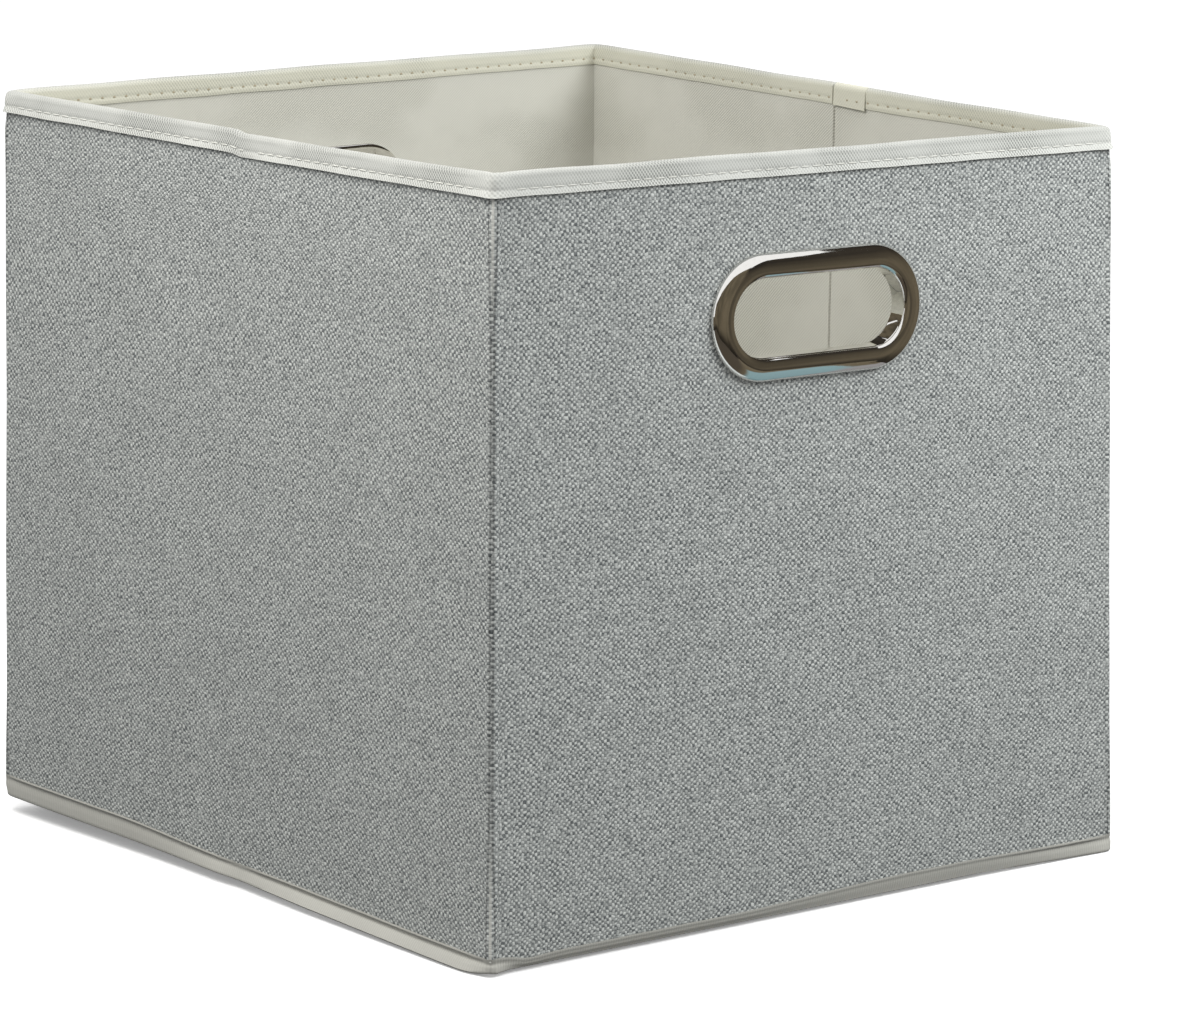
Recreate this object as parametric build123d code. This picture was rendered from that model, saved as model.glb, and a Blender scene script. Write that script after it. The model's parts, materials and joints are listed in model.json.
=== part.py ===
from build123d import *
import os

os.makedirs("parts", exist_ok=True)

# Open size over the binding tapes, in millimetres
width = 315.0
depth = 315.0
height = 305.0

# Layers of a wall
tape_thick = 0.6
cloth_thick = 0.8
board_thick = 2.0
lining_thick = 0.6

# Tape folded over the rim, and its lapped end inside the right wall
rim_outer_leg = 9.3
rim_inner_leg = 9.0
lap_length = 20.0
lap_thick = 0.4
lap_step = 0.5

# Tape folded under the lower edge of the walls
hem_outer_leg = 4.6
hem_inner_leg = 4.2

# Bare cloth at each fold, which bends there, and the slack between its two stretches
board_setback = 3.0
fold_gap = 0.2

# Bottom cloth with its turned-up seam, and the loose insert that lies on it
floor_cloth_thick = 0.6
seam_thick = 1.2
insert_board_thick = 2.0
insert_cover_thick = 0.4
insert_clearance = 3.0
insert_round = 6.0
slide_gap = 0.4

# Hand grips: a pressed bezel outside, rolled over a ring inside
grip_length = 86.0
grip_height = 31.0
grip_drop = 64.0
flange_width = 9.7
flange_edge = 0.6
crest_offset = 3.4
crest_rise = 3.7
crest_round = 5.0
shoulder_offset = 0.9
shoulder_rise = 2.9
brow_offset = 1.2
brow_rise = 2.0
throat_rise = 0.9
sheet_thick = 0.8
ring_width = 9.0
ring_thick = 1.2
ring_bevel = 0.7
curl_width = 2.6
curl_thick = 0.7
grip_fit = 0.2

# Distances from a wall's inside to the faces of its layers
lining_face = tape_thick
board_face = lining_face + lining_thick
cloth_face = board_face + board_thick
cloth_skin = cloth_face + cloth_thick
wall = cloth_skin + tape_thick

# The walls turn on upright lines at their inside corners
hinge_x = width / 2 - wall
hinge_y = depth / 2 - wall

# Levels
insert_thick = insert_board_thick + 2 * insert_cover_thick
insert_top = floor_cloth_thick + insert_thick
hem_level = insert_top + slide_gap
layer_low = hem_level + tape_thick
layer_high = height - tape_thick
grip_level = height - grip_drop


def front_band(inner, outer, low, high):
    """A layer of the front wall that turns both of its corners, between two distances from its inside."""
    strip = Pos(0, -hinge_y - (inner + outer) / 2) * Rectangle(2 * hinge_x, outer - inner)
    turn = Circle(outer) & Rectangle(outer, outer, align=(Align.MIN, Align.MAX))
    if inner > 0:
        turn -= Circle(inner)
    right_turn = Pos(hinge_x, -hinge_y) * turn
    plan = strip + right_turn + mirror(right_turn, about=Plane.YZ)
    return Pos(0, 0, low) * extrude(plan, high - low, dir=(0, 0, 1))


def half_band(inner, outer, low, high, setback=fold_gap):
    """A layer of the right wall's front half, from its corner to the fold in the middle of the wall."""
    corner = Pos(hinge_x + inner, setback - hinge_y, low)
    return corner * Box(outer - inner, hinge_y - 2 * setback, high - low, align=Align.MIN)


def rim_binding(band):
    """Tape folded over the top edge of a wall."""
    cap = band(0, wall, height - tape_thick, height)
    outer_leg = band(cloth_skin, wall, height - rim_outer_leg, height)
    inner_leg = band(0, tape_thick, height - rim_inner_leg, height)
    return cap + outer_leg + inner_leg


def hem_binding(band):
    """Tape folded under the lower edge of a wall."""
    cap = band(0, wall, hem_level, hem_level + tape_thick)
    outer_leg = band(cloth_skin, wall, hem_level, hem_level + hem_outer_leg)
    inner_leg = band(0, tape_thick, hem_level, hem_level + hem_inner_leg)
    return cap + outer_leg + inner_leg


def front_board():
    """Stiffening board of the front wall, short of both corners."""
    span = 2 * (hinge_x - board_setback)
    middle = Pos(0, -hinge_y - board_face, layer_low)
    return middle * Box(span, board_thick, layer_high - layer_low, align=(Align.CENTER, Align.MAX, Align.MIN))


# The grip's own plane lies on the front wall's outer cloth, facing out
grip_plane = Plane(origin=(0, -hinge_y - cloth_skin, grip_level), x_dir=(1, 0, 0), z_dir=(0, -1, 0))


def grip_hole():
    """Cutter for the hole that the grip passes through."""
    growth = 2 * (sheet_thick + grip_fit)
    outline = SlotOverall(grip_length + growth, grip_height + growth)
    return grip_plane * extrude(outline, 2 * wall, both=True)


def round_the_grip(section):
    """Carries a section, drawn outwards from the opening's edge, once round the opening."""
    end_radius = grip_height / 2
    reach = (grip_length - grip_height) / 2
    start = Pos(end_radius, 0, 0) * Plane.XZ * section
    right_end = Pos(reach, 0, 0) * Rot(0, 0, -90) * revolve(start, Axis.Z, 180)
    upper_run = extrude(Rot(0, 0, 90) * start, reach, dir=(1, 0, 0), both=True)
    half = right_end + upper_run
    return grip_plane * (half + Rot(0, 0, 180) * half)


def bezel_section():
    """Pressed sheet: a crowned flange outside, a sleeve through the wall and a rolled lip inside."""
    sleeve_end = -(cloth_thick + board_thick + lining_thick + ring_thick)
    lip_end = sleeve_end - curl_thick
    top_side = [(0, lip_end), (0, throat_rise), (shoulder_offset, shoulder_rise), (crest_offset, crest_rise),
                (flange_width - brow_offset, brow_rise), (flange_width, flange_edge), (flange_width, 0)]
    under_side = [(flange_width - sheet_thick, 0), (crest_offset, crest_rise - 2 * sheet_thick),
                  (sheet_thick, throat_rise), (sheet_thick, sleeve_end)]
    lip = [(curl_width, sleeve_end), (curl_width, lip_end)]
    with BuildSketch() as section:
        with BuildLine():
            Polyline(*top_side, *under_side, *lip, close=True)
        make_face()
        fillet(section.vertices().sort_by(Axis.Y)[-1], crest_round)
    return section.sketch


def ring_section():
    """Flat ring on the lining, with its outer edge bevelled."""
    seat = -(cloth_thick + board_thick + lining_thick)
    bore = sheet_thick + grip_fit
    with BuildSketch() as section:
        with Locations(((bore + ring_width) / 2, seat - ring_thick / 2)):
            Rectangle(ring_width - bore, ring_thick)
        chamfer(section.vertices().group_by(Axis.Y)[0].sort_by(Axis.X)[-1], ring_bevel)
    return section.sketch


hole = grip_hole()
front_pieces = {
    "outer_cloth": front_band(cloth_face, cloth_skin, layer_low, layer_high) - hole,
    "board": front_board() - hole,
    "lining": front_band(lining_face, board_face, layer_low, layer_high) - hole,
    "rim_binding": rim_binding(front_band),
    "hem_binding": hem_binding(front_band),
    "grip_bezel": round_the_grip(bezel_section()),
    "grip_ring": round_the_grip(ring_section()),
}
half_pieces = {
    "outer_cloth": half_band(cloth_face, cloth_skin, layer_low, layer_high),
    "board": half_band(board_face, cloth_face, layer_low, layer_high, board_setback),
    "lining": half_band(lining_face, board_face, layer_low, layer_high),
    "rim_binding": rim_binding(half_band),
    "hem_binding": hem_binding(half_band),
}

nodes = {}
for piece, solid in front_pieces.items():
    nodes["front_" + piece] = solid
    nodes["rear_" + piece] = Rot(0, 0, 180) * solid
for piece, solid in half_pieces.items():
    nodes["right_front_" + piece] = solid
    nodes["right_rear_" + piece] = mirror(solid, about=Plane.XZ)
    nodes["left_front_" + piece] = mirror(solid, about=Plane.YZ)
    nodes["left_rear_" + piece] = Rot(0, 0, 180) * solid

# Where the rim tape's end is lapped over its start, inside the right wall and in front of its fold
lap_height = rim_inner_leg + lap_step
lap_corner = Pos(hinge_x, -fold_gap, height)
nodes["rim_binding_lap"] = lap_corner * Box(lap_thick, lap_length, lap_height, align=Align.MAX)

# Bottom cloth, whose edge is turned up to the hem
floor_plan = RectangleRounded(width, depth, wall)
seam_inside = RectangleRounded(width - 2 * seam_thick, depth - 2 * seam_thick, wall - seam_thick)
seam = extrude(floor_plan - seam_inside, insert_top)
nodes["bottom_cloth"] = extrude(floor_plan, floor_cloth_thick) + seam

# Loose insert: a board between two covers, the upper one turned down over its edge
insert_width = 2 * (hinge_x - insert_clearance)
insert_depth = 2 * (hinge_y - insert_clearance)
insert_plan = RectangleRounded(insert_width, insert_depth, insert_round)
core_plan = RectangleRounded(insert_width - 2 * insert_cover_thick, insert_depth - 2 * insert_cover_thick,
                             insert_round - insert_cover_thick)
core_level = floor_cloth_thick + insert_cover_thick
insert_core = Pos(0, 0, core_level) * extrude(core_plan, insert_board_thick)
nodes["insert_board"] = insert_core
nodes["insert_top_cover"] = Pos(0, 0, core_level) * extrude(insert_plan, insert_top - core_level) - insert_core
nodes["insert_bottom_cover"] = Pos(0, 0, floor_cloth_thick) * extrude(insert_plan, insert_cover_thick)

for name, solid in nodes.items():
    export_step(solid, f"parts/{name}.step")
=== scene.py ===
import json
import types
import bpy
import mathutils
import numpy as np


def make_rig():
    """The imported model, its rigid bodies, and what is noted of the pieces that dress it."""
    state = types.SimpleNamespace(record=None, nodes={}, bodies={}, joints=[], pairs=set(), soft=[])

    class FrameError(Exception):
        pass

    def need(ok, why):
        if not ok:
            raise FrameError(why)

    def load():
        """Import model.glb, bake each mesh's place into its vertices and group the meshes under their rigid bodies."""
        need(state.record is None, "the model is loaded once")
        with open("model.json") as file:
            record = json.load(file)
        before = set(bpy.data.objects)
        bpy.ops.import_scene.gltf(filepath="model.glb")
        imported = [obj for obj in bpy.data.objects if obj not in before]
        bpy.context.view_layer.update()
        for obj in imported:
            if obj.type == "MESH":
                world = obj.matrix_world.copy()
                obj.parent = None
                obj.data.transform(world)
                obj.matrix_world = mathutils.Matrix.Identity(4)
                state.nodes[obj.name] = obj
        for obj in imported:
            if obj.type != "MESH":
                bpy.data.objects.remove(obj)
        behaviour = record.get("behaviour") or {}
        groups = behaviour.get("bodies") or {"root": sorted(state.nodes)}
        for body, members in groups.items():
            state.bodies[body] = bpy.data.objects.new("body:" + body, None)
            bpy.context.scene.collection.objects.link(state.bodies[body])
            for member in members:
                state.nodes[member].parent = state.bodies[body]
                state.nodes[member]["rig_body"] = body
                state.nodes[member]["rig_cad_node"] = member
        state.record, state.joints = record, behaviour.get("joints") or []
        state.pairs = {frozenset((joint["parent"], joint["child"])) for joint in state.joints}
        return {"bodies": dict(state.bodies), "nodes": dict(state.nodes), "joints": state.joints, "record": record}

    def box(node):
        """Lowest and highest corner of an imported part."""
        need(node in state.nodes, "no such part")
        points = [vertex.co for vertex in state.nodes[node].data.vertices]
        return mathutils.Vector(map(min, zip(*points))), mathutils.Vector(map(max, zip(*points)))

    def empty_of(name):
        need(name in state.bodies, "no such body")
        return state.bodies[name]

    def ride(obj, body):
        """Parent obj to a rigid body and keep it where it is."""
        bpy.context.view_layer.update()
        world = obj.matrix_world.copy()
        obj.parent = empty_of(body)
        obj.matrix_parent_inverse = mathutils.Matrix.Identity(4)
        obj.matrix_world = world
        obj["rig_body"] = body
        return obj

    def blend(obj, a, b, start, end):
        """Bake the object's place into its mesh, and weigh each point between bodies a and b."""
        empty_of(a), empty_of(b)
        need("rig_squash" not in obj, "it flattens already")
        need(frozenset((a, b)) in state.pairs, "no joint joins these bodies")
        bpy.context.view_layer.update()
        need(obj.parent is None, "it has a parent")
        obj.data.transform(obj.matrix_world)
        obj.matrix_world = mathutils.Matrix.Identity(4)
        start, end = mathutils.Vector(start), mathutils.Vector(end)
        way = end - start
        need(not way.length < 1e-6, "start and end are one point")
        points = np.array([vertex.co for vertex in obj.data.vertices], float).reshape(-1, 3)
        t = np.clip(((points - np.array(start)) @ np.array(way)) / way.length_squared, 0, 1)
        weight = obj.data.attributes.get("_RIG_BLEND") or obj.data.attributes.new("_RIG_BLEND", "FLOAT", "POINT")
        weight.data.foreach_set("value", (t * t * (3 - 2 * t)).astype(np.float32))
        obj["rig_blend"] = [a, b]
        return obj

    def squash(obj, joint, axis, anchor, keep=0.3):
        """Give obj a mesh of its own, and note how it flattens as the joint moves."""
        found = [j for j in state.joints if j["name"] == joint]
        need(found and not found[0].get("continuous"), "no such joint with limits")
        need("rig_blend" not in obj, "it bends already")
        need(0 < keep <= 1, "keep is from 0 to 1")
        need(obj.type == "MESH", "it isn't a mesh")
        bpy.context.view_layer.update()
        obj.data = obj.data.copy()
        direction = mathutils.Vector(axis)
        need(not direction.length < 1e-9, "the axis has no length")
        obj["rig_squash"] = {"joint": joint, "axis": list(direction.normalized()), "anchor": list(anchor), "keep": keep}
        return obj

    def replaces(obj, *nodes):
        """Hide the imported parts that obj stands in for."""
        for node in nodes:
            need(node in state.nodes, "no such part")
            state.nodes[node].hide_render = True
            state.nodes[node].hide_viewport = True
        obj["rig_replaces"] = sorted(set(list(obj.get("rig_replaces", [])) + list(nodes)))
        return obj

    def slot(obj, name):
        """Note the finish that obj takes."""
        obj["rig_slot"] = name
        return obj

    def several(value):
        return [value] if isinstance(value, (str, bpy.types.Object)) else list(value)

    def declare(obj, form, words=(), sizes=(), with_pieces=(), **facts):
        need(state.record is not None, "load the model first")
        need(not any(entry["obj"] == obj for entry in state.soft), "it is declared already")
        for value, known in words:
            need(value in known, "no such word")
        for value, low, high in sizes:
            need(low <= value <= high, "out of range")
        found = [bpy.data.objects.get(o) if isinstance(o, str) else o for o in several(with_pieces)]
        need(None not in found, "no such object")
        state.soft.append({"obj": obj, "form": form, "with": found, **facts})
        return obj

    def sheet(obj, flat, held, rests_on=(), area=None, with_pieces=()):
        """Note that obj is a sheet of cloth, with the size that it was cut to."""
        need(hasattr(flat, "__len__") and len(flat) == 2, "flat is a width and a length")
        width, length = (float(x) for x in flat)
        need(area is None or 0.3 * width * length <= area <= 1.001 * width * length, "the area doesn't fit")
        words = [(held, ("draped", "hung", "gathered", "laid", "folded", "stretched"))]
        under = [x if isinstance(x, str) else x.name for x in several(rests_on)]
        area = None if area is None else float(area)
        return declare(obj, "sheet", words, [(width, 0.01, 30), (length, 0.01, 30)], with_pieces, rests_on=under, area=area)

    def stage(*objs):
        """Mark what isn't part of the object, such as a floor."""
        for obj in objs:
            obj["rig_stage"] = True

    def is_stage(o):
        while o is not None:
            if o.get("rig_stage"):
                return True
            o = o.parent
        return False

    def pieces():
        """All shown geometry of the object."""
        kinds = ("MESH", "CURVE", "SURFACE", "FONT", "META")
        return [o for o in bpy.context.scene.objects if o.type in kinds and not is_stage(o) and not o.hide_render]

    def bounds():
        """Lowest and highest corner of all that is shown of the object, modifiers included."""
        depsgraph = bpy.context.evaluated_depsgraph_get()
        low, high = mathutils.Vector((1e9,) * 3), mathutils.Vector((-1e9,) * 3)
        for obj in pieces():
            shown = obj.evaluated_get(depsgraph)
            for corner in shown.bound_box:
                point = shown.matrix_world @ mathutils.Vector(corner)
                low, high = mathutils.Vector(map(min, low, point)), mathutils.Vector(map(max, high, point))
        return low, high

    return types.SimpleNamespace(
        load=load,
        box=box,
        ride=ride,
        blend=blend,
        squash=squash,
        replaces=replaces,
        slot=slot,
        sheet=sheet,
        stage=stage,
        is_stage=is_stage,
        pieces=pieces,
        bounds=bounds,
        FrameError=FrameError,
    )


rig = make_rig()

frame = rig.load()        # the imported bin: its bodies, nodes, joints and record
cad_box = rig.bounds()

import json
from collections import namedtuple
from math import ceil, cos, dist, exp, pi, radians, sin

import bmesh
import bpy
from mathutils import Matrix, Vector, noise

MM = 0.001

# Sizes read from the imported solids, in metres. A layer's depth is its distance from the wall's inside.
joint_at = {j["name"]: Vector(j["pos_m"]) for j in frame["joints"] if "pos_m" in j}
hinge_x = joint_at["fold_right_front"].x
hinge_y = -joint_at["fold_right_front"].y
wall = -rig.box("front_rim_binding")[0].y - hinge_y
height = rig.box("front_rim_binding")[1].z
cloth_skin = -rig.box("front_outer_cloth")[0].y - hinge_y
cloth_back = -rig.box("front_board")[0].y - hinge_y
board_face = -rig.box("front_board")[1].y - hinge_y
lining_face = -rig.box("left_front_lining")[1].x - hinge_x
board_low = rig.box("left_front_board")[0].z
board_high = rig.box("left_front_board")[1].z
lining_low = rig.box("left_front_lining")[0].z
insert_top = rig.box("insert_top_cover")[1].z

# Tape, thread, grip and base sizes, in metres
tape_thick = 0.6 * MM
rim_outer_leg = 9.3 * MM
rim_inner_leg = 9.0 * MM
rim_crown = 1.6 * MM
rim_flare = 0.45 * MM
rim_flick = 0.8 * MM
stitch_rise = 2.7 * MM
stitch_pitch = 6.0 * MM
stitch_length = 4.2 * MM
stitch_pull = 0.28 * MM
thread_radius = 0.32 * MM
hem_width = 17 * MM
hem_height = 8.6 * MM
hem_thick = 0.4 * MM
hem_droop = 2.9 * MM
hem_lean = 1.0 * MM
hem_inner_leg = 7.0 * MM
seam_pitch = 2.0 * MM
seam_aside = 0.4 * MM
fold_mouth = 0.8 * MM
fold_ease = 18 * MM
fold_slit = 0.25 * MM
sewn_depth = cloth_back - 0.4 * MM
lap_length = 19 * MM
lap_thick = 0.45 * MM
flange_width = 9.7 * MM
flange_crest = 3.4 * MM
throat_width = 1.5 * MM
edge_width = 1.6 * MM
sleeve_thick = 0.8 * MM
ring_thick = 1.2 * MM
curl_width = 2.6 * MM
curl_thick = 0.7 * MM
hole_margin = 0.9 * MM
sheet_step = 5 * MM
insert_round = 6 * MM
insert_seam = 5 * MM
bottom_slack = 17 * MM

# How far each corner of the soft bin stands from a true box, in millimetres: (right, back, up)
RIM_CORNERS = {
    "rear_left": (-2.8, 2.2, -2.0),
    "front_left": (-3.5, 0.0, -0.5),
    "front_right": (1.3, -2.6, -5.0),
    "rear_right": (0.0, 3.5, -2.5),
}
FOOT_CORNERS = {
    "rear_left": (-2.0, 4.6, 6.6),
    "front_left": (-4.0, -4.7, 0.0),
    "front_right": (8.8, -8.4, 0.0),
    "rear_right": (0.0, 0.0, 0.0),
}

# The rear grip's move and the left rim's sag, in millimetres, the grip's share of the height, the share by
# which the corners stand out, and the angle past which a mesh's edge is sharp
REAR_GRIP_RISE, REAR_GRIP_ASIDE = 5.2, -5.6
REAR_GRIP_LEVEL, REAR_GRIP_SPREAD = 0.8, 0.08
LEFT_SAG_REAR, LEFT_SAG_FRONT = 0.9, 2.0
CORNER_CRISP = 0.34
SHARP_EDGE = radians(55)


# The wall as one strip, measured round the bin from the front left corner
Run = namedtuple("Run", "start end angle turn first last")
Spot = namedtuple("Spot", "base out turn")


def hinge_point(side, end):
    return Vector((side * hinge_x, end * hinge_y, 0))


def make_runs():
    """The wall's straight runs and corner turns in order, with their distances round the bin."""
    quarter = pi / 2
    rows = (
        ("front", (-1, -1), (1, -1), -quarter, 0),
        ("front_right_corner", (1, -1), (1, -1), -quarter, quarter),
        ("right_front", (1, -1), (1, 0), 0, 0),
        ("right_rear", (1, 0), (1, 1), 0, 0),
        ("rear_right_corner", (1, 1), (1, 1), 0, quarter),
        ("rear", (1, 1), (-1, 1), quarter, 0),
        ("rear_left_corner", (-1, 1), (-1, 1), quarter, quarter),
        ("left_rear", (-1, 1), (-1, 0), 2 * quarter, 0),
        ("left_front", (-1, 0), (-1, -1), 2 * quarter, 0),
        ("front_left_corner", (-1, -1), (-1, -1), 2 * quarter, quarter),
    )
    made = {}
    first = 0
    for name, start, end, angle, turn in rows:
        start, end = hinge_point(*start), hinge_point(*end)
        last = first + (end - start).length + turn * cloth_skin
        made[name] = Run(start, end, angle, turn, first, last)
        first = last
    return made


runs = make_runs()
girth = runs["front_left_corner"].last
ridges = [(s.first + s.last) / 2 for s in runs.values() if s.turn]
folds = [runs["right_front"].last, runs["left_rear"].last]


def spot_at(at):
    """The wall's inside point and outward direction at a distance round the bin."""
    at = at if at >= 0 else at + girth
    for s in runs.values():
        if at <= s.last + 1e-9:
            break
    share = (at - s.first) / (s.last - s.first)
    angle = s.angle + s.turn * share
    out = Vector((cos(angle), sin(angle), 0))
    return Spot(s.start.lerp(s.end, share), out, sin(pi * share) ** 2 if s.turn else 0)


def nearest(at, marks):
    """Distance round the bin to the nearest of some marks."""
    gaps = [abs(at - m) for m in marks]
    return min(min(g, girth - g) for g in gaps)


def clamp(x, low=0, high=1):
    return min(max(x, low), high)


def smooth(x):
    x = clamp(x)
    return x * x * (3 - 2 * x)


def ease(x, span):
    """Rises smoothly from nothing to one over a span of millimetres."""
    return smooth(x / (span * MM))


def bump(x, width):
    return exp(-(x / width) ** 2)


def wander(at, span, seed):
    """A smooth wandering along the wall, about -1 to 1, over spans of so many millimetres."""
    return noise.noise(Vector((at / (span * MM), seed, 0)))


def settle(p):
    """Moves a point of the true box to where the soft bin holds it. Side walls keep their middles.
    The front wall sinks as a whole, the rear wall at its rim, and a lifted foot soon evens out."""
    right = clamp((p.x / hinge_x + 1) / 2)
    back = clamp((p.y / hinge_y + 1) / 2)
    up = clamp(p.z / height)
    by_grip = bump(up - REAR_GRIP_LEVEL, REAR_GRIP_SPREAD)
    moved = Vector((0, 0, 0))
    for corner, rim_move in RIM_CORNERS.items():
        share = right if "right" in corner else 1 - right
        level = back if "rear" in corner else 1 - back
        hold = smooth(2 * level - 1)
        rim, foot = Vector(rim_move), Vector(FOOT_CORNERS[corner])
        move = rim * up + foot * (1 - up)
        sunk = smooth((up - 0.86) / 0.14) if "rear" in corner else up
        move.z = rim.z * sunk + foot.z * (1 - up) ** 3
        if "rear" in corner:
            move.z += REAR_GRIP_RISE * by_grip
        moved += share * Vector((move.x * hold, move.y * hold, move.z * level)) * MM
    halfway = 1 - min(abs(p.y) / hinge_y, 1)
    sag = halfway * (LEFT_SAG_REAR + (LEFT_SAG_FRONT - LEFT_SAG_REAR) * ease(8 * MM - p.y, 7))
    moved.z -= sag * MM * (1 - right) ** 6 * smooth((up - 0.8) / 0.2)
    if p.y > 0.9 * hinge_y:
        moved.x += REAR_GRIP_ASIDE * MM * by_grip * max(0, 1 - (p.x / hinge_x) ** 2)
    return p + moved


def box_point(spot, depth, z):
    """A point of the wall, at a depth from its inside. Its corners are crisp, but softer at the tapes."""
    rim_share = ease(z - height + 16 * MM, 8)
    crisp = CORNER_CRISP * (1 - 0.75 * rim_share) * (0.2 + 0.8 * ease(z, 8))
    p = spot.base + spot.out * depth * (1 + crisp * spot.turn)
    return Vector((p.x, p.y, z))


def wall_point(spot, depth, z):
    return settle(box_point(spot, depth, z))


def marks_between(first, last, step, fine):
    """Distances from first to last, with closer ones through each corner turn."""
    edges = [e for s in runs.values() for e in (s.first, s.last, s.first - girth)]
    edges += [fold + fold_mouth * k for fold in folds for k in (-1, -0.6, -0.3, 0.3, 0.6, 1)]
    edges = sorted({first, last, *[e for e in edges if first < e < last]})
    found = [first]
    for low, high in zip(edges, edges[1:]):
        turning = nearest((low + high) / 2, ridges) < 1e-6
        count = max(1, round((high - low) / (fine if turning else step)))
        found += [low + (high - low) * k / count for k in range(1, count + 1)]
    return found


# The six walls, in the pieces that they fold in
Wall = namedtuple("Wall", "name bodies corner first last")


def make_walls():
    """Each wall's bodies, the corner that it bends round and its stretch of the strip."""
    rows = (
        ("front", ["front_wall"], "front", "front"),
        ("right_front", ["front_wall", "right_front_half"], "front_right_corner", "right_front"),
        ("right_rear", ["right_rear_half"], "right_rear", "right_rear"),
        ("rear", ["rear_wall"], "rear_right_corner", "rear"),
        ("left_rear", ["rear_wall", "left_rear_half"], "rear_left_corner", "left_rear"),
        ("left_front", ["left_front_half", "front_wall"], "left_front", "front_left_corner"),
    )
    made = []
    for name, bodies, first, last in rows:
        corner = first if "corner" in first else last
        made.append(Wall(name, bodies, corner if len(bodies) > 1 else None,
                         runs[first].first, runs[last].last))
    return made


walls = make_walls()


def carry(obj, w, depth):
    """The piece rides its wall, and bends round its corner at its own layer's depth."""
    if w.corner is None:
        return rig.ride(obj, w.bodies[0])
    turn = runs[w.corner]
    ends = [spot_at(d) for d in (turn.first + 1e-7, turn.last - 1e-7)]
    start, end = [s.base + s.out * depth for s in ends]
    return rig.blend(obj, *w.bodies, start=start, end=end)


# Mesh making
def add_object(name, data):
    obj = bpy.data.objects.new(name, data)
    bpy.context.scene.collection.objects.link(obj)
    return obj


def mesh_object(name, points, faces, coords, look):
    """A smooth mesh, whose points carry their flat place on the cloth, in millimetres, as a UV."""
    mesh = bpy.data.meshes.new(name)
    mesh.from_pydata(points, [], faces)
    layer = mesh.uv_layers.new(name="cloth")
    for loop in mesh.loops:
        layer.data[loop.index].uv = coords[loop.vertex_index]
    mesh.polygons.foreach_set("use_smooth", [True] * len(mesh.polygons))
    mesh.set_sharp_from_angle(angle=SHARP_EDGE)
    mesh.materials.append(look)
    return add_object(name, mesh)


def face_outwards(obj):
    work = bmesh.new()
    work.from_mesh(obj.data)
    bmesh.ops.recalc_face_normals(work, faces=work.faces)
    work.to_mesh(obj.data)
    work.free()
    return obj


def loft(name, rows, closed, look):
    """A skin over rows of (point, flat place). Closed rows go out and back, and are capped."""
    count = len(rows[0])
    points = [p for row in rows for p, _ in row]
    coords = [c for row in rows for _, c in row]
    faces = []
    for r in range(len(rows) - 1):
        for k in range(count if closed else count - 1):
            a, b = r * count + k, r * count + (k + 1) % count
            faces.append((a, a + count, b + count, b))
    if closed:
        for base in (0, (len(rows) - 1) * count):
            for k in range(count // 2 - 1):
                far = count - 1 - k
                faces.append((base + k, base + k + 1, base + far - 1, base + far))
    obj = mesh_object(name, points, faces, coords, look)
    return face_outwards(obj) if closed else obj


def thicken(obj, thick):
    """Gives a sheet its thickness, with crisp cut edges."""
    shell = obj.modifiers.new("thickness", "SOLIDIFY")
    shell.thickness = thick
    shell.offset = 0
    scene_now = bpy.context.evaluated_depsgraph_get()
    solid = bpy.data.meshes.new_from_object(obj.evaluated_get(scene_now), preserve_all_data_layers=True,
                                            depsgraph=scene_now)
    obj.modifiers.clear()
    obj.data = solid
    solid.set_sharp_from_angle(angle=SHARP_EDGE)
    return obj


def tape_loop(path, thick):
    """The closed section, as (depth, z, run), of a tape along a path of (depth, z)."""
    out, back, run = [], [], 0
    for k, (u, z) in enumerate(path):
        before, after = path[max(k - 1, 0)], path[min(k + 1, len(path) - 1)]
        along = Vector((after[0] - before[0], after[1] - before[1])).normalized()
        if k:
            run += dist(path[k - 1], path[k])
        side = Vector((along.y, -along.x)) * thick / 2
        out.append((u + side.x, z + side.y, run))
        back.append((u - side.x, z - side.y, run))
    return out + back[::-1]


def tape(name, first, last, path_at, thick, step, look, run_from=0):
    """A tape along the wall, whose section's path is a function of the distance round."""
    rows = []
    for at in marks_between(first, last, step, 0.6 * MM):
        spot = spot_at(at)
        row = []
        for u, z, run in tape_loop(path_at(at), thick):
            row.append((wall_point(spot, u, z), (at / MM, (run_from + run) / MM)))
        rows.append(row)
    return loft(name, rows, True, look)


def pinch(at, depth):
    """Lining and tape dip at a side wall's fold, where they are sewn to the cloth."""
    open_share = smooth(nearest(at, folds) / fold_mouth)
    return sewn_depth - (sewn_depth - depth) * open_share if depth < sewn_depth else depth


def off_fold(at):
    """Nothing at a side wall's fold, and one a little way from it."""
    return smooth(nearest(at, folds) / fold_ease)


def clear_of_fold(w):
    """The wall's stretch, ended a little short of a fold."""
    first, last = [fold_slit if nearest(end, folds) < 1e-6 else 0 for end in (w.first, w.last)]
    return w._replace(first=w.first + first, last=w.last - last)


# Material making
def srgb(r, g, b):
    """A linear colour from an sRGB one of 0 to 255."""
    linear = [(c / 255 / 12.92) if c < 10.3 else ((c / 255 + 0.055) / 1.055) ** 2.4 for c in (r, g, b)]
    return (*linear, 1)


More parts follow.
